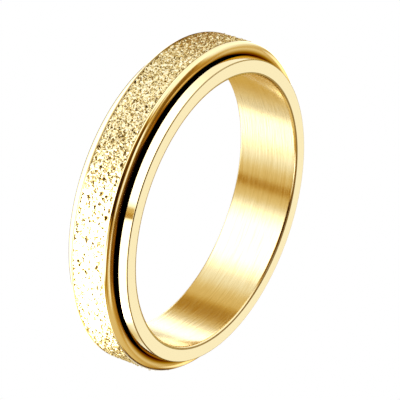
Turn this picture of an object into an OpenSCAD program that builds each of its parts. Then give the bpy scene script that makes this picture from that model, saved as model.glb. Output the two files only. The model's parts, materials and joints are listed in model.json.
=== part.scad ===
// Spinner ring: a flanged inner band that is worn on the finger, and an outer
// band that turns freely in the channel between the two rims.
// The ring lies on its side. Its axis is +Z, its lower face is at z = 0 and the
// face with the visible gap is on top. All lengths are in millimetres.

/* [Finger hole] */
// Inside diameter, a US size 6
bore_d = 16.5; // [14:0.1:22]
// Rounding at each mouth of the finger hole
mouth_round = 0.15; // [0.05:0.01:0.25]

/* [Inner band] */
// Width of the whole ring, from face to face
band_w = 4.1; // [3.2:0.1:8]
// Thickness of the inner band under the spinner
floor_wall = 0.6; // [0.4:0.05:1]
// Width of each rim, along the axis
rim_w = 0.56; // [0.4:0.02:0.9]
// Height of each rim above the channel floor, at its channel side
rim_h = 0.43; // [0.25:0.01:0.6]
// How much lower each rim is at the ring's face, where its wall leans in
rim_taper = 0.1; // [0:0.01:0.2]
// Rounding of the outer edge of each rim
rim_round = 0.06; // [0.03:0.01:0.12]

/* [Spinner] */
// Thickness of the spinner at its thickest, beside the blasted field
spinner_t = 1.1; // [0.8:0.05:1.4]
// Clearance between the spinner's bore and the channel floor, all round
turn_gap = 0.08; // [0.04:0.01:0.1]
// Clearance to the lower rim, where the spinner has settled
low_gap = 0.04; // [0.03:0.01:0.08]
// Clearance to the upper rim, the dark gap that shows
high_gap = 0.17; // [0.08:0.01:0.2]
// Radius of the gentle crown on each side of the spinner
crown_r = 1.05; // [0.6:0.05:2]
// Tilt of the crown's surface where the shoulder takes over, in degrees
crown_tilt = 25; // [10:1:35]
// Radius of the shoulder between the crown and the outer surface
shoulder_r = 0.25; // [0.15:0.01:0.3]
// Width of the polished land between each shoulder and the blasted field
land_w = 0.02; // [0.01:0.01:0.2]
// Depth of the blasted field below the polished lands
field_depth = 0.03; // [0.02:0.01:0.1]
// Chamfer at each end of the spinner's bore
spinner_break = 0.08; // [0.04:0.01:0.15]

/* [Hidden] */
$fn = 128;

bore_r = bore_d / 2;
floor_r = bore_r + floor_wall;
rim_r = floor_r + rim_h;
rim_face_r = rim_r - rim_taper;
rim_lean = atan(rim_taper / rim_w);
spinner_bore_r = floor_r + turn_gap;
spinner_r = spinner_bore_r + spinner_t;
spinner_z0 = rim_w + low_gap;
spinner_z1 = band_w - rim_w - high_gap;

// The crown's arc runs into the shoulder's, which ends at the outer surface
shoulder_x = spinner_r - shoulder_r;
crown_x = shoulder_x - (crown_r - shoulder_r) * sin(crown_tilt);
side_h = crown_r - (crown_r - shoulder_r) * cos(crown_tilt);
field_z0 = spinner_z0 + side_h + land_w;
field_z1 = spinner_z1 - side_h - land_w;

// How far a cutter reaches past what it cuts
over = 1;

// Cutter for what lies outside a circle of radius r round x, z, between two
// directions in degrees. side_x and side_z (1 or -1) mirror it.
module outside_arc(x, z, r, from, to, side_x, side_z) {
    reach = r + over;
    translate([x, z])
        scale([side_x, side_z])
            difference() {
                polygon([[0, 0], reach * [cos(from), sin(from)], reach * [cos(to), sin(to)]]);
                circle(r);
            }
}

// Cutter for a chamfer of size c at the corner x, z.
module corner_chamfer(x, z, c, side_x, side_z) {
    translate([x, z])
        scale([side_x, side_z])
            polygon([[-c, 0], [-c, over], [over, over], [over, -c], [0, -c]]);
}

// Roundings of the inner band at one face: the mouth of the finger hole and the
// rim's outer edge, whose wall leans in. side is 1 for the upper face.
module face_rounds(z, side) {
    outside_arc(bore_r + mouth_round, z - side * mouth_round, mouth_round, 0, 90, -1, side);
    rim_round_x = rim_face_r - rim_round * (1 - sin(rim_lean)) / cos(rim_lean);
    outside_arc(rim_round_x, z - side * rim_round, rim_round, rim_lean, 90, 1, side);
}

// Cross-section of the inner band. The rims are turned square in the channel,
// where they guide the spinner.
module band_profile() {
    difference() {
        polygon([
            [bore_r, 0],
            [rim_face_r, 0],
            [rim_r, rim_w],
            [floor_r, rim_w],
            [floor_r, band_w - rim_w],
            [rim_r, band_w - rim_w],
            [rim_face_r, band_w],
            [bore_r, band_w],
        ]);
        face_rounds(0, -1);
        face_rounds(band_w, 1);
    }
}

// Crown and shoulder of the spinner's side at z. side is 1 for the upper one.
// The crown's cutter overlaps the shoulder's, so that they leave nothing between.
module crowned_side(z, side) {
    outside_arc(crown_x, z - side * crown_r, crown_r, 90 - 2 * crown_tilt, 90, 1, side);
    outside_arc(shoulder_x, z - side * side_h, shoulder_r, 0, 90 - crown_tilt, 1, side);
}

// Cross-section of the spinner, with its crowned sides and the sunk field.
module spinner_profile() {
    difference() {
        translate([spinner_bore_r, spinner_z0])
            square([spinner_t, spinner_z1 - spinner_z0]);
        translate([spinner_r - field_depth, field_z0])
            square([field_depth + over, field_z1 - field_z0]);
        corner_chamfer(spinner_bore_r, spinner_z0, spinner_break, -1, -1);
        corner_chamfer(spinner_bore_r, spinner_z1, spinner_break, -1, 1);
        crowned_side(spinner_z0, -1);
        crowned_side(spinner_z1, 1);
    }
}

// The inner band: brushed finger hole, channel floor and the two rims.
module inner_band() {
    color([0.93, 0.78, 0.45]) rotate_extrude() band_profile();
}

// The turning band: polished crowned sides and a blasted field between them.
module spinner() {
    color([0.86, 0.70, 0.38]) rotate_extrude() spinner_profile();
}

inner_band();
spinner();
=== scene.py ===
"""Spinner ring lying on a pale table: a brushed inner band, and a blasted outer band that turns on it.

Everything is in metres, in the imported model's frame: the ring's axis is +Z, and the table is at z = 0.
"""
import json
import math

import bpy
import numpy as np
from mathutils import Matrix, Vector


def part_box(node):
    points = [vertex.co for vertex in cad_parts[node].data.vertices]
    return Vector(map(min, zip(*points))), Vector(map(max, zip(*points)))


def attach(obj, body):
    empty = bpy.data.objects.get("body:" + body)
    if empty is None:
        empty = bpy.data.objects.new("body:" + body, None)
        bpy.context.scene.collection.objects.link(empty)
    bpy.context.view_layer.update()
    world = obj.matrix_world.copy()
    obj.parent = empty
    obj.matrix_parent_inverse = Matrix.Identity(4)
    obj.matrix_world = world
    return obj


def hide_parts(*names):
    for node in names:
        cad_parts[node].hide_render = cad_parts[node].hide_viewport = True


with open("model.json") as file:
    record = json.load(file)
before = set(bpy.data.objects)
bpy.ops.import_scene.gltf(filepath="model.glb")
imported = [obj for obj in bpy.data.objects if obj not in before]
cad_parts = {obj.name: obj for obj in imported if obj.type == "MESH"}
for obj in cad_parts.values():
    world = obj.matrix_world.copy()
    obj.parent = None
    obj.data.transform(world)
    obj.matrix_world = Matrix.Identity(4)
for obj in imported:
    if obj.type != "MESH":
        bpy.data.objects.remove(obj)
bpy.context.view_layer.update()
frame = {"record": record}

MM = 0.001

# Sizes that the frame gives
BAND_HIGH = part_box("inner_band")[1]
SPIN_LOW, SPIN_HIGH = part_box("spinner")
BORE_R = frame["record"]["mounts"][0]["dims"]["r_mm"] * MM
BAND_W = BAND_HIGH[2]
RIM_R = BAND_HIGH[0]
SPIN_R = SPIN_HIGH[0]
SPIN_Z0 = SPIN_LOW[2]
SPIN_Z1 = SPIN_HIGH[2]

# Sizes that repeat the CAD model's
MOUTH_ROUND = 0.15 * MM
FLOOR_WALL = 0.6 * MM
RIM_W = 0.56 * MM
RIM_TAPER = 0.1 * MM
RIM_ROUND = 0.06 * MM
TURN_GAP = 0.08 * MM
CROWN_R = 1.05 * MM
CROWN_TILT = 25.0
SHOULDER_R = 0.25 * MM
LAND_W = 0.02 * MM
FIELD_DEPTH = 0.03 * MM
SPINNER_BREAK = 0.08 * MM

FLOOR_R = BORE_R + FLOOR_WALL
RIM_LEAN = math.atan(RIM_TAPER / RIM_W)
SPIN_BORE_R = FLOOR_R + TURN_GAP
SHOULDER_X = SPIN_R - SHOULDER_R
CROWN_X = SHOULDER_X - (CROWN_R - SHOULDER_R) * math.sin(math.radians(CROWN_TILT))
SIDE_H = CROWN_R - (CROWN_R - SHOULDER_R) * math.cos(math.radians(CROWN_TILT))
FIELD_R = SPIN_R - FIELD_DEPTH
FIELD_Z0 = SPIN_Z0 + SIDE_H + LAND_W
FIELD_Z1 = SPIN_Z1 - SIDE_H - LAND_W

# The photograph's camera: width of its picture and its sensor, focal length, scale at the ring's
# upper face, and the angle of the ring's axis from the line of sight and within the picture
IMAGE_PX = 400
SENSOR_MM = 36.0
FOCAL_PX = 2500.0
PX_PER_MM = 17.1475
AXIS_TO_VIEW = math.radians(60.316)
AXIS_ROLL = math.radians(18.55)

# Middle of the ring's upper face in the picture, right of and below the picture's own middle
FACE_RIGHT_PX = 19.744
FACE_DOWN_PX = 12.159

# Nearest and farthest that the camera sees
CLIP_START = 0.005
CLIP_END = 10.0

# How finely the two bodies, the rim's rounding and the spinner's crown are turned
BAND_SEGMENTS = 512
SPINNER_SEGMENTS = 1024
RIM_STEPS = 8
CROWN_STEPS = 6

# Guard points, which keep a flat's shading flat: how near to its ends they are, and the largest
# share of its length that they take
GUARD = 0.01 * MM
GUARD_SHARE = 0.4

# Shading breaks along edges that are sharper than this
SHARP_ANGLE = math.radians(40)

# The blasted field's grain: size of a facet, rows of the mesh, how steep, high and curved the facets
# are, rows of facets to spare at each side of the field, and the seed of the random draws
GRAIN = 0.13 * MM
FIELD_ROWS = 40
GRAIN_SLOPE = 0.42
GRAIN_LIFT = 0.16
GRAIN_CURVE = 0.9
SPARE_ROWS = 1
GRAIN_SEED = 7

# The painted shade along each mouth's edge, a darker line: how far it reaches over the face, the steps
# of the mouth's rounding, and how many of them the line takes at the upper and at the lower mouth
EDGE_LINE = 0.025 * MM
MOUTH_STEPS = 12
UPPER_LINE_STEPS = 5
LOWER_LINE_STEPS = 8

# The painted shade along each side of the blasted field, a darker line: the steps of the spinner's
# shoulder, and how many of them the line takes on the upper and on the lower side
SHOULDER_STEPS = 10
UPPER_FIELD_STEPS = 1
LOWER_FIELD_STEPS = 3

# How far the groove's painted shade reaches up the rim's wall
WALL_FOOT = 0.045 * MM

# Material slots, the same on both bodies: the finish is the brushed bore or the blasted field
POLISHED, FINISH, GROOVE, EDGE = range(4)

# Base colours: red, green, blue
GOLD = (0.97, 0.83, 0.475)
# The painted shade of the thin darker lines along the edges
EDGE_SHADE_GOLD = (0.46, 0.34, 0.15)

# Tints of the glancing reflections: red, green, blue
EDGE_TINT = (0.5, 0.38, 0.14)
GROOVE_TINT = (0.4, 0.22, 0.06)
BLASTED_TINT = (0.95, 0.8, 0.45)

# Least and most roughness of each finish
POLISHED_ROUGH = (0.045, 0.075)
EDGE_ROUGH = (0.18, 0.32)
GROOVE_ROUGH = (0.08, 0.14)
BRUSHED_ROUGH = (0.13, 0.21)
BLASTED_ROUGH = (0.22, 0.42)

# Scale of the noise that varies each finish, per millimetre along X, Y and Z
POLISHED_NOISE = (1.5, 1.5, 1.5)
EDGE_NOISE = (3.0, 3.0, 3.0)
GROOVE_NOISE = (4.0, 4.0, 4.0)
BRUSHED_NOISE = (0.6, 0.6, 11.0)
FLECK_NOISE = (5.0, 5.0, 5.0)

# The values that nearly all noise lies between
NOISE_LOW = 0.25
NOISE_HIGH = 0.75

# The groove's painted shade: distance outward from the rim in millimetres, then red, green, blue
GROOVE_PAINTED_SHADE = [
    (0.0, 0.010, 0.0025, 0.001),
    (0.05, 0.10, 0.032, 0.006),
    (0.12, 0.22, 0.085, 0.012),
    (0.22, 0.50, 0.28, 0.06),
    (0.36, 0.86, 0.64, 0.26),
    (0.5, *GOLD),
]

# The brushed lines: fineness of their noise, how far they spread the light, a quarter turn that
# lays the spread along the ring's axis, and the depth and strength of their relief
BRUSHED_DETAIL = 3.0
BRUSHED_SPREAD = 0.8
QUARTER_TURN = 0.25
BRUSHED_DEPTH = 0.02 * MM
BRUSHED_STRENGTH = 0.4

# The brushed lines from the deepest to the highest: height, then red, green, blue
BRUSHED_COLOURS = [
    (0.32, 0.90, 0.73, 0.37),
    (0.5, 0.95, 0.80, 0.44),
    (0.68, 0.98, 0.85, 0.50),
]

# The blasted grit: grains per millimetre, how far the tones of the grains and of the flecks over
# them range, and the depth and strength of the grains' relief
GRIT_SCALE = 15.0
GRIT_TONES = 0.95
FLECK_TONES = (-0.32, 0.38)
GRIT_DEPTH = 0.02 * MM
GRIT_STRENGTH = 0.3

# The blasted grit from painted shade in its pits to its bright facets: tone, then red, green, blue
GRIT_COLOURS_AND_PIT_SHADE = [
    (0.0, 0.08, 0.045, 0.012),
    (0.12, 0.24, 0.15, 0.04),
    (0.28, 0.56, 0.40, 0.14),
    (0.45, 0.86, 0.70, 0.33),
    (0.6, 0.97, 0.85, 0.48),
    (1.0, 1.0, 0.95, 0.72),
]

# The studio round the ring is made of cards of light. Azimuth 0 is the camera's side, and 90 is
# the side at the top of the photograph. A level of 0 is nearly black, 1 is white, and above 1 it is
# stronger white. A later card covers an earlier one.

# Cards in the sky, with angles in degrees, over a sky of one level
SKY_LEVEL = 0.5
SKY_CARDS = [
    # azimuth, half width, soft edge, elevation, half height, soft edge, level
    # above the table
    (100, 52, 30, 27, 36, 24, 1.2),
    (-120, 38, 24, 25, 40, 20, 0.72),
    (-54, 11, 12, 0, 40, 20, 2.0),
    (-37, 9, 10, 0, 32, 16, 0.9),
    (-105, 65, 24, 72, 6, 8, 0.4),
    (-8, 62, 30, 62, 15, 10, 0.12),
    (76, 20, 20, 60, 8, 10, 0.4),
    (-80, 30, 14, 56, 14, 10, 0.36),
    (-147, 8, 8, 60, 10, 6, 1.1),
    (-170, 12, 10, 54, 8, 6, 0.25),
    (-10, 18, 14, 42, 37, 24, 0.1),
    (24, 22, 12, 42, 22, 20, 0.22),
    (155, 22, 16, 55, 11, 10, 0.3),
    (180, 28, 16, 60, 9, 10, 0.28),
    (130, 66, 20, 77, 5, 6, 1.3),
    (-165, 24, 20, 77, 5, 6, 1.1),
    (180, 20, 10, 30, 6.5, 3, 1.0),
    (180, 20, 8, 4, 16, 8, 2.0),
    (-142, 19, 8, -4, 20, 14, 0.2),
    # below the table, for the finger hole
    (0, 181, 1, -50, 41, 4, 2.4),
    (-38, 30, 24, -50, 41, 4, 0.97),
    (-34, 16, 18, -50, 41, 4, 0.7),
    (-33, 4, 5, -50, 41, 4, 0.42),
    (78, 38, 24, -50, 41, 4, 0.97),
    (85, 24, 20, -50, 41, 4, 0.7),
    (90, 9, 10, -50, 41, 4, 0.46),
    (-160, 60, 14, -50, 41, 4, 0.97),
    (-161, 40, 40, -50, 41, 4, 0.62),
    (-176, 17, 16, -50, 41, 4, 0.45),
    (-96, 34, 10, -13, 12, 4, 0.3),
    (110, 34, 10, -13, 12, 4, 0.3),
]

# Cards in the table outside the ring, with angles in degrees and distances from the ring's axis in
# millimetres, over a table of one level
TABLE_LEVEL = 1.05
TABLE_CARDS = [
    # azimuth, half width, soft edge, distance, half depth, soft edge, level
    (-8, 72, 40, 30, 10, 8, 2.2),
    (112, 54, 24, 11.4, 1.9, 1.6, 0.42),
    (-42, 38, 10, 15, 5, 3, 10.0),
    (-14, 50, 20, 10.45, 0.55, 0.3, 2.0),
    (-5, 70, 10, 9.55, 0.3, 0.2, 2.2),
    (-5, 70, 10, 8.95, 0.28, 0.1, 0.1),
    (132, 18, 10, 20, 10, 4, 2.2),
    (-84, 14, 14, 15, 3, 3, 0.75),
    (-130, 34, 8, 63, 43, 3, 0.22),
    (-15.8, 4, 6, 28, 4, 2, 0.64),
    (-18.3, 1.6, 2, 28, 4, 2, 0.47),
]

# Light of each level up to 1: level, then red, green, blue
LEVEL_COLOURS = [
    (0.0, 0.004, 0.001, 0.0005),
    (0.2, 0.067, 0.020, 0.003),
    (0.4, 0.40, 0.20, 0.018),
    (0.6, 0.62, 0.41, 0.10),
    (0.8, 0.81, 0.68, 0.42),
    (0.9, 0.90, 0.85, 0.74),
    (1.0, 1.0, 1.0, 1.0),
]

# Half the side of the table
TABLE_HALF = 1.0


def arc(centre, radius, start, end, steps):
    """Points on an arc in the section's plane, from angle start to angle end in degrees."""
    points = []
    for i in range(steps + 1):
        angle = math.radians(start + (end - start) * i / steps)
        points.append((centre[0] + radius * math.cos(angle), centre[1] + radius * math.sin(angle)))
    return points


def flat(start, end):
    """A straight stretch with a guard point near each end."""
    share = min(GUARD / math.dist(start, end), GUARD_SHARE)
    guards = []
    for t in (share, 1 - share):
        guards.append((start[0] + (end[0] - start[0]) * t, start[1] + (end[1] - start[1]) * t))
    return [start] + guards + [end]


def mirrored(stretches, height):
    """The same stretches on the lower side, in turning order. height is the low plus the high edge."""
    lower = []
    for points, slot in reversed(stretches):
        lower.append(([(r, height - z) for r, z in reversed(points)], slot))
    return lower


def lathe(name, stretches, segments, materials):
    """A closed body of revolution.

    A stretch is its points and its slot, and it starts where the last one ends.
    """
    ring_points = []
    ring_slots = []
    for points, slot in stretches:
        ring_points.extend(points[:-1])
        ring_slots.extend([slot] * (len(points) - 1))
    count = len(ring_points)
    radius, height = np.array(ring_points).T
    angle = np.arange(segments) * 2 * math.pi / segments
    verts = np.empty((count, segments, 3))
    verts[:, :, 0] = radius[:, None] * np.cos(angle)
    verts[:, :, 1] = radius[:, None] * np.sin(angle)
    verts[:, :, 2] = height[:, None]
    here = np.arange(count)[:, None] * segments
    above = (np.arange(count)[:, None] + 1) % count * segments
    step = np.arange(segments)[None, :]
    turn = (step + 1) % segments
    faces = np.stack([here + step, here + turn, above + turn, above + step], -1)
    mesh = bpy.data.meshes.new(name)
    mesh.from_pydata(verts.reshape(-1, 3).tolist(), [], faces.reshape(-1, 4).tolist())
    mesh.polygons.foreach_set("material_index", np.repeat(ring_slots, segments))
    mesh.polygons.foreach_set("use_smooth", np.ones(count * segments, dtype=bool))
    for material in materials:
        mesh.materials.append(material)
    mesh.update()
    obj = bpy.data.objects.new(name, mesh)
    bpy.context.scene.collection.objects.link(obj)
    return obj


def grain_height(angle, height):
    """Height of the blasted surface at each point: crowded facets, each tilted at random.

    The circumference holds a whole number of cells, so the grain closes on itself.
    """
    rng = np.random.default_rng(GRAIN_SEED)
    across = int(round(2 * math.pi * FIELD_R / GRAIN))
    up = int(math.ceil((FIELD_Z1 - FIELD_Z0) / GRAIN)) + 2 * SPARE_ROWS
    seed_across = rng.uniform(0.0, 1.0, (across, up))
    seed_up = rng.uniform(0.0, 1.0, (across, up))
    slope_across = rng.normal(0.0, GRAIN_SLOPE, (across, up))
    slope_up = rng.normal(0.0, GRAIN_SLOPE, (across, up))
    lift = rng.uniform(-GRAIN_LIFT, GRAIN_LIFT, (across, up))
    place_across = angle / (2 * math.pi) * across
    place_up = (height - FIELD_Z0) / GRAIN + SPARE_ROWS
    highest = np.full(angle.shape, -np.inf)
    for step_across in (-1, 0, 1):
        for step_up in (-1, 0, 1):
            column = np.floor(place_across).astype(int) + step_across
            row = np.clip(np.floor(place_up).astype(int) + step_up, 0, up - 1)
            cell = (column % across, row)
            off_across = place_across - column - seed_across[cell]
            off_up = place_up - row - seed_up[cell]
            facet = lift[cell] + slope_across[cell] * off_across + slope_up[cell] * off_up
            facet -= GRAIN_CURVE * (off_across ** 2 + off_up ** 2)
            highest = np.maximum(highest, facet)
    return (highest - highest.mean()) * GRAIN


def maths(tree, operation, *values):
    """One Math node, with numbers or sockets as its inputs."""
    node = tree.nodes.new("ShaderNodeMath")
    node.operation = operation
    for i, value in enumerate(values):
        if isinstance(value, (int, float)):
            node.inputs[i].default_value = value
        else:
            tree.links.new(value, node.inputs[i])
    return node.outputs[0]


def stretched(tree, vector, scale):
    """A vector times one number for each axis."""
    node = tree.nodes.new("ShaderNodeVectorMath")
    node.operation = "MULTIPLY"
    node.inputs[1].default_value = scale
    tree.links.new(vector, node.inputs[0])
    return node.outputs["Vector"]


def length_of(tree, vector):
    """The length of a vector."""
    node = tree.nodes.new("ShaderNodeVectorMath")
    node.operation = "LENGTH"
    tree.links.new(vector, node.inputs[0])
    return node.outputs["Value"]


def ramp(tree, value, stops):
    """A colour ramp over a value. A stop is its place, red, green and blue."""
    node = tree.nodes.new("ShaderNodeValToRGB")
    elements = node.color_ramp.elements
    while len(elements) < len(stops):
        # Anywhere between the ramp's two ends, as each stop gets its place below
        elements.new(0.5)
    for element, (place, *colour) in zip(elements, stops):
        element.position = place
        element.color = (*colour, 1.0)
    tree.links.new(value, node.inputs["Fac"])
    return node.outputs["Color"]


def noise(tree, place, scale, detail=2.0):
    """Noise at a place in millimetres. The scale is per millimetre, one number for each axis."""
    node = tree.nodes.new("ShaderNodeTexNoise")
    node.inputs["Scale"].default_value = 1.0
    node.inputs["Detail"].default_value = detail
    tree.links.new(stretched(tree, place, scale), node.inputs["Vector"])
    return node.outputs["Fac"]


def between(tree, noise_value, low, high):
    """Noise brought between low and high."""
    node = tree.nodes.new("ShaderNodeMapRange")
    tree.links.new(noise_value, node.inputs["Value"])
    node.inputs["From Min"].default_value = NOISE_LOW
    node.inputs["From Max"].default_value = NOISE_HIGH
    node.inputs["To Min"].default_value = low
    node.inputs["To Max"].default_value = high
    return node.outputs["Result"]


def vary_roughness(tree, shader, noise_value, limits):
    """Roughness that follows noise, between its least and most."""
    tree.links.new(between(tree, noise_value, *limits), shader.inputs["Roughness"])


def bump(tree, shader, height, depth, strength):
    """Relief of this depth from a height between 0 and 1."""
    node = tree.nodes.new("ShaderNodeBump")
    node.inputs["Distance"].default_value = depth
    node.inputs["Strength"].default_value = strength
    tree.links.new(height, node.inputs["Height"])
    tree.links.new(node.outputs["Normal"], shader.inputs["Normal"])


def metal(name):
    """A metal: its material, node tree, shader, and place in millimetres for its finish."""
    mat = bpy.data.materials.new(name)
    mat.use_nodes = True
    tree = mat.node_tree
    shader = tree.nodes["Principled BSDF"]
    shader.inputs["Metallic"].default_value = 1.0
    metres = tree.nodes.new("ShaderNodeTexCoord").outputs["Object"]
    return mat, tree, shader, stretched(tree, metres, (1 / MM, 1 / MM, 1 / MM))


def polished_gold():
    """Mirror polish, with the faint unevenness that polishing leaves."""
    mat, tree, shader, place = metal("polished_gold")
    shader.inputs["Base Color"].default_value = (*GOLD, 1.0)
    vary_roughness(tree, shader, noise(tree, place, POLISHED_NOISE), POLISHED_ROUGH)
    return mat


def edge_painted_shade():
    """Painted shade: a thin darker line along the edges."""
    mat, tree, shader, place = metal("edge_painted_shade")
    shader.inputs["Base Color"].default_value = (*EDGE_SHADE_GOLD, 1.0)
    shader.inputs["Specular Tint"].default_value = (*EDGE_TINT, 1.0)
    vary_roughness(tree, shader, noise(tree, place, EDGE_NOISE), EDGE_ROUGH)
    return mat


def groove_painted_shade():
    """Dull gold with painted shade in the groove: nearly black beside the rim, it clears to gold over
    the crown.
    """
    mat, tree, shader, place = metal("groove_painted_shade")
    level_place = stretched(tree, place, (1.0, 1.0, 0.0))
    from_rim = maths(tree, "SUBTRACT", length_of(tree, level_place), RIM_R / MM)
    span = GROOVE_PAINTED_SHADE[-1][0]
    along = maths(tree, "DIVIDE", from_rim, span)
    stops = [(outward / span, *colour) for outward, *colour in GROOVE_PAINTED_SHADE]
    tree.links.new(ramp(tree, along, stops), shader.inputs["Base Color"])
    shader.inputs["Specular Tint"].default_value = (*GROOVE_TINT, 1.0)
    vary_roughness(tree, shader, noise(tree, place, GROOVE_NOISE), GROOVE_ROUGH)
    return mat


def brushed_gold():
    """Satin lines round the finger hole, which spread the light along the axis."""
    mat, tree, shader, place = metal("brushed_gold")
    shader.inputs["Anisotropic"].default_value = BRUSHED_SPREAD
    shader.inputs["Anisotropic Rotation"].default_value = QUARTER_TURN
    tangent = tree.nodes.new("ShaderNodeTangent")
    tangent.direction_type = "RADIAL"
    tangent.axis = "Z"
    tree.links.new(tangent.outputs["Tangent"], shader.inputs["Tangent"])
    lines = noise(tree, place, BRUSHED_NOISE, BRUSHED_DETAIL)
    tree.links.new(ramp(tree, lines, BRUSHED_COLOURS), shader.inputs["Base Color"])
    vary_roughness(tree, shader, lines, BRUSHED_ROUGH)
    bump(tree, shader, lines, BRUSHED_DEPTH, BRUSHED_STRENGTH)
    return mat


def blasted_gold():
    """Coarse blasting: small grains of random tone, gathered in darker and lighter flecks. The darkest
    grains are painted shade in the pits.
    """
    mat, tree, shader, place = metal("blasted_gold")
    shader.inputs["Specular Tint"].default_value = (*BLASTED_TINT, 1.0)
    grit = tree.nodes.new("ShaderNodeTexVoronoi")
    grit.inputs["Scale"].default_value = GRIT_SCALE
    tree.links.new(place, grit.inputs["Vector"])
    parts = tree.nodes.new("ShaderNodeSeparateColor")
    tree.links.new(grit.outputs["Color"], parts.inputs["Color"])
    flecks = between(tree, noise(tree, place, FLECK_NOISE), *FLECK_TONES)
    tone = maths(tree, "MULTIPLY_ADD", parts.outputs["Red"], GRIT_TONES, flecks)
    tree.links.new(ramp(tree, tone, GRIT_COLOURS_AND_PIT_SHADE), shader.inputs["Base Color"])
    least, most = BLASTED_ROUGH
    rough = maths(tree, "MULTIPLY_ADD", parts.outputs["Green"], most - least, least)
    tree.links.new(rough, shader.inputs["Roughness"])
    bump(tree, shader, parts.outputs["Blue"], GRIT_DEPTH, GRIT_STRENGTH)
    return mat


def band_side(line_steps):
    """The inner band from the channel over the upper face to the bore.

    line_steps is how many of the mouth's steps its darker line of painted shade takes.
    """
    lean = math.degrees(RIM_LEAN)
    round_x = RIM_R - RIM_TAPER - RIM_ROUND * (1 - math.sin(RIM_LEAN)) / math.cos(RIM_LEAN)
    rim_edge = arc((round_x, BAND_W - RIM_ROUND), RIM_ROUND, lean, 90, RIM_STEPS)
    mouth_centre = (BORE_R + MOUTH_ROUND, BAND_W - MOUTH_ROUND)
    mouth = arc(mouth_centre, MOUTH_ROUND, 90, 180, MOUTH_STEPS)
    mouth_line = (mouth[0][0] + EDGE_LINE, BAND_W)
    wall_foot = (RIM_R - WALL_FOOT * math.tan(RIM_LEAN), BAND_W - RIM_W + WALL_FOOT)
    return [
        (flat((FLOOR_R, BAND_W - RIM_W), (RIM_R, BAND_W - RIM_W)), GROOVE),
        # The foot of the rim's wall takes the groove's painted shade
        ([(RIM_R, BAND_W - RIM_W), wall_foot], GROOVE),
        (flat(wall_foot, rim_edge[0]), POLISHED),
        (rim_edge, EDGE),
        (flat(rim_edge[-1], mouth_line), POLISHED),
        ([mouth_line] + mouth[:line_steps + 1], EDGE),
        (mouth[line_steps:], FINISH),
    ]


def inner_band(materials):
    """The inner band, turned from the channel over the upper face to the bore, and back below."""
    bore = flat((BORE_R, BAND_W - MOUTH_ROUND), (BORE_R, MOUTH_ROUND))
    channel = flat((FLOOR_R, RIM_W), (FLOOR_R, BAND_W - RIM_W))
    lower = mirrored(band_side(LOWER_LINE_STEPS), BAND_W)
    section = band_side(UPPER_LINE_STEPS) + [(bore, FINISH)] + lower + [(channel, GROOVE)]
    obj = lathe("inner_band_dressed", section, BAND_SEGMENTS, materials)
    obj.data.set_sharp_from_angle(angle=SHARP_ANGLE)
    return obj


def spinner_side(line_steps):
    """The spinner from the blasted field over the upper side to its bore.

    line_steps is how many of the shoulder's steps the field's darker line of painted shade takes.
    """
    shoulder_centre = (SHOULDER_X, SPIN_Z1 - SIDE_H)
    shoulder = arc(shoulder_centre, SHOULDER_R, 0, 90 - CROWN_TILT, SHOULDER_STEPS)
    crown = arc((CROWN_X, SPIN_Z1 - CROWN_R), CROWN_R, 90 - CROWN_TILT, 90, CROWN_STEPS)
    break_top = (SPIN_BORE_R + SPINNER_BREAK, SPIN_Z1)
    return [
        ([(FIELD_R, FIELD_Z1), (SPIN_R, FIELD_Z1)] + shoulder[:line_steps + 1], EDGE),
        (shoulder[line_steps:], POLISHED),
        (crown, GROOVE),
        (flat(crown[-1], break_top), GROOVE),
        ([break_top, (SPIN_BORE_R, SPIN_Z1 - SPINNER_BREAK)], GROOVE),
    ]


def blast(mesh):
    """Raise the facets of the blasted field, the first rows of the mesh, with flat shading."""
    coords = np.empty(len(mesh.vertices) * 3)
    mesh.vertices.foreach_get("co", coords)
    grid = coords.reshape(-1, SPINNER_SEGMENTS, 3)
    patch = grid[:FIELD_ROWS + 1]
    angle = np.arctan2(patch[:, :, 1], patch[:, :, 0]) % (2 * math.pi)
    patch[:, :, :2] *= 1 + grain_height(angle, patch[:, :, 2])[:, :, None] / FIELD_R
    mesh.vertices.foreach_set("co", coords)
    smooth = np.ones((len(grid), SPINNER_SEGMENTS), dtype=bool)
    smooth[:FIELD_ROWS] = False
    mesh.polygons.foreach_set("use_smooth", smooth.reshape(-1))
    mesh.update()


def spinner(materials):
    """The spinner, turned from the blasted field over the upper side to its bore, and back below."""
    field = []
    for i in range(FIELD_ROWS + 1):
        field.append((FIELD_R, FIELD_Z0 + (FIELD_Z1 - FIELD_Z0) * i / FIELD_ROWS))
    bore = [(SPIN_BORE_R, SPIN_Z1 - SPINNER_BREAK), (SPIN_BORE_R, SPIN_Z0 + SPINNER_BREAK)]
    lower = mirrored(spinner_side(LOWER_FIELD_STEPS), SPIN_Z0 + SPIN_Z1)
    section = [(field, FINISH)] + spinner_side(UPPER_FIELD_STEPS) + [(bore, GROOVE)] + lower
    obj = lathe("spinner_dressed", section, SPINNER_SEGMENTS, materials)
    blast(obj.data)
    obj.data.set_sharp_from_angle(angle=SHARP_ANGLE)
    return obj


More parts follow.
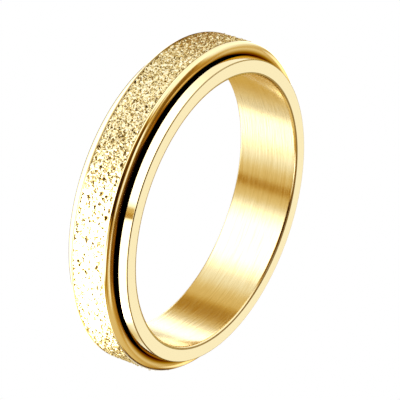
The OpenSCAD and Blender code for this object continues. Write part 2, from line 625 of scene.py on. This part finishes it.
def camera():
    """The photograph's camera. The ring's axis points right and down in its picture."""
    cos_v, sin_v = math.cos(AXIS_TO_VIEW), math.sin(AXIS_TO_VIEW)
    cos_r, sin_r = math.cos(AXIS_ROLL), math.sin(AXIS_ROLL)
    right = Vector((-sin_r, cos_v * cos_r, sin_v * cos_r))
    up = Vector((-cos_r, -cos_v * sin_r, -sin_v * sin_r))
    back = Vector((0.0, -sin_v, cos_v))
    distance = FOCAL_PX / PX_PER_MM * MM
    shift = distance / FOCAL_PX
    face = Vector((0.0, 0.0, BAND_W))
    spot = face - FACE_RIGHT_PX * shift * right + FACE_DOWN_PX * shift * up + distance * back
    data = bpy.data.cameras.new("photo_camera")
    data.sensor_width = SENSOR_MM
    data.lens = SENSOR_MM * FOCAL_PX / IMAGE_PX
    data.clip_start = CLIP_START
    data.clip_end = CLIP_END
    obj = bpy.data.objects.new("photo_camera", data)
    turn = Matrix((right, up, back)).transposed()
    obj.matrix_world = Matrix.Translation(spot) @ turn.to_4x4()
    bpy.context.scene.collection.objects.link(obj)
    bpy.context.scene.camera = obj


def separated(tree, vector):
    """The node that holds a vector's three coordinates."""
    node = tree.nodes.new("ShaderNodeSeparateXYZ")
    tree.links.new(vector, node.inputs[0])
    return node


def azimuth_of(tree, way):
    """Azimuth in degrees of a direction or a place, from its separated coordinates."""
    to_camera = maths(tree, "MULTIPLY", way.outputs["Y"], -1.0)
    to_top = maths(tree, "MULTIPLY", way.outputs["X"], -1.0)
    return maths(tree, "DEGREES", maths(tree, "ARCTAN2", to_top, to_camera))


def inside(tree, away, half, soft):
    """1 within half of a card's middle and 0 outside it, with a soft edge."""
    edge = tree.nodes.new("ShaderNodeMapRange")
    edge.interpolation_type = "SMOOTHSTEP"
    tree.links.new(maths(tree, "ABSOLUTE", away), edge.inputs["Value"])
    edge.inputs["From Min"].default_value = half + soft / 2
    edge.inputs["From Max"].default_value = half - soft / 2
    return edge.outputs["Result"]


def card_light(tree, cards, azimuth, other, base_level):
    """Colour and strength of the light at an azimuth and an elevation or distance."""
    level = base_level
    for card_azimuth, half_width, width_soft, middle, half_height, height_soft, card_level in cards:
        turn = maths(tree, "WRAP", maths(tree, "SUBTRACT", azimuth, card_azimuth), 180, -180)
        rise = maths(tree, "SUBTRACT", other, middle)
        across = inside(tree, turn, half_width, width_soft)
        upward = inside(tree, rise, half_height, height_soft)
        mask = maths(tree, "MULTIPLY", across, upward)
        change = maths(tree, "SUBTRACT", card_level, level)
        level = maths(tree, "MULTIPLY_ADD", change, mask, level)
    return ramp(tree, level, LEVEL_COLOURS), maths(tree, "MAXIMUM", level, 1.0)


def white_to_camera(tree, plain, white, output):
    """The camera sees white, and every reflection sees the plain shader."""
    mix = tree.nodes.new("ShaderNodeMixShader")
    camera_ray = tree.nodes.new("ShaderNodeLightPath").outputs["Is Camera Ray"]
    tree.links.new(camera_ray, mix.inputs["Fac"])
    tree.links.new(plain, mix.inputs[1])
    tree.links.new(white, mix.inputs[2])
    tree.links.new(mix.outputs[0], output.inputs["Surface"])


def studio():
    """The sky: cards to every reflection, and plain white to the camera."""
    world = bpy.data.worlds.new("studio")
    world.use_nodes = True
    tree = world.node_tree
    way = separated(tree, tree.nodes.new("ShaderNodeTexCoord").outputs["Generated"])
    elevation = maths(tree, "DEGREES", maths(tree, "ARCSINE", way.outputs["Z"]))
    colour, strength = card_light(tree, SKY_CARDS, azimuth_of(tree, way), elevation, SKY_LEVEL)
    background = tree.nodes["Background"]
    tree.links.new(colour, background.inputs["Color"])
    tree.links.new(strength, background.inputs["Strength"])
    white = tree.nodes.new("ShaderNodeBackground")
    white.inputs["Color"].default_value = (1.0, 1.0, 1.0, 1.0)
    white_to_camera(tree, background.outputs[0], white.outputs[0], tree.nodes["World Output"])
    bpy.context.scene.world = world


def glowing_white():
    """The table's surface: white to the camera, cards to reflections, clear in the finger hole."""
    mat = bpy.data.materials.new("table")
    mat.use_nodes = True
    tree = mat.node_tree
    tree.nodes.remove(tree.nodes["Principled BSDF"])
    place = tree.nodes.new("ShaderNodeTexCoord").outputs["Object"]
    azimuth = azimuth_of(tree, separated(tree, place))
    distance = maths(tree, "DIVIDE", length_of(tree, place), MM)
    colour, strength = card_light(tree, TABLE_CARDS, azimuth, distance, TABLE_LEVEL)
    light = tree.nodes.new("ShaderNodeEmission")
    tree.links.new(colour, light.inputs["Color"])
    tree.links.new(strength, light.inputs["Strength"])
    clear = tree.nodes.new("ShaderNodeBsdfTransparent")
    plain = tree.nodes.new("ShaderNodeMixShader")
    outside_hole = maths(tree, "GREATER_THAN", distance, BORE_R / MM)
    tree.links.new(outside_hole, plain.inputs["Fac"])
    tree.links.new(clear.outputs[0], plain.inputs[1])
    tree.links.new(light.outputs[0], plain.inputs[2])
    white = tree.nodes.new("ShaderNodeEmission")
    white_to_camera(tree, plain.outputs[0], white.outputs[0], tree.nodes["Material Output"])
    return mat


def table():
    """The pale table that the ring lies on."""
    corners = []
    for side_x, side_y in ((-1, -1), (1, -1), (1, 1), (-1, 1)):
        corners.append((side_x * TABLE_HALF, side_y * TABLE_HALF, 0))
    mesh = bpy.data.meshes.new("table")
    mesh.from_pydata(corners, [], [(0, 1, 2, 3)])
    mesh.materials.append(glowing_white())
    obj = bpy.data.objects.new("table", mesh)
    bpy.context.scene.collection.objects.link(obj)


camera()
studio()
table()
polish = polished_gold()
groove = groove_painted_shade()
edge = edge_painted_shade()
band = inner_band([polish, brushed_gold(), groove, edge])
turner = spinner([polish, blasted_gold(), groove, edge])
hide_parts("inner_band")
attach(band, "band")
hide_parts("spinner")
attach(turner, "spinner")
bpy.context.scene.view_settings.view_transform = "Standard"
